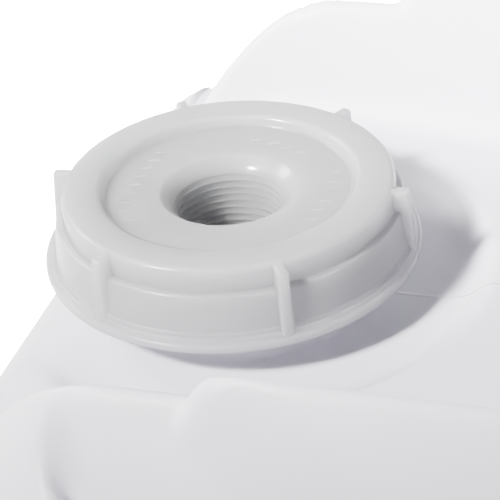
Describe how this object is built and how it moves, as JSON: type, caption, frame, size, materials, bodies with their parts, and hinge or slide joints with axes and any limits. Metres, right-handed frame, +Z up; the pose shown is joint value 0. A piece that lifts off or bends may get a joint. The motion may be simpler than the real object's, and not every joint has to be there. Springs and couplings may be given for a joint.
{
  "type": "fresh water tank",
  "caption": "White blow-moulded fresh water jerrycan with a moulded carrying handle and a lugged screw cap that has a pipe-threaded centre hole for a supply fitting.",
  "frame": {"origin": "on the floor under the middle of the tank", "axes": "+X along the tank's length, away from the neck; +Y across it; +Z up, along the neck and cap axis"},
  "size_m": [0.295, 0.248, 0.377],
  "materials": {
    "tank_hdpe": "satin white blow-moulded polyethylene",
    "cap_pp": "milky natural moulded plastic, semi-gloss",
    "gasket_foam": "matt pale seal"
  },
  "bodies": {
    "tank": {"tank_shell": "tank_hdpe"},
    "seal": {"cap_gasket": "gasket_foam"},
    "cap": {"screw_cap": "cap_pp"}
  },
  "joints": [
    {"name": "cap_lift", "type": "slide", "parent": "tank", "child": "seal", "axis": [0, 0, 1], "range_m": [0, 0.0106]},
    {"name": "cap_turn", "type": "hinge", "parent": "seal", "child": "cap", "pos_m": [-0.0955, 0, 0.35], "axis": [0, 0, 1], "range_deg": [0, 900]}
  ],
  "couplings": [
    {"joint": "cap_lift", "follows": "cap_turn", "m_per_rad": 0.0006737}
  ]
}
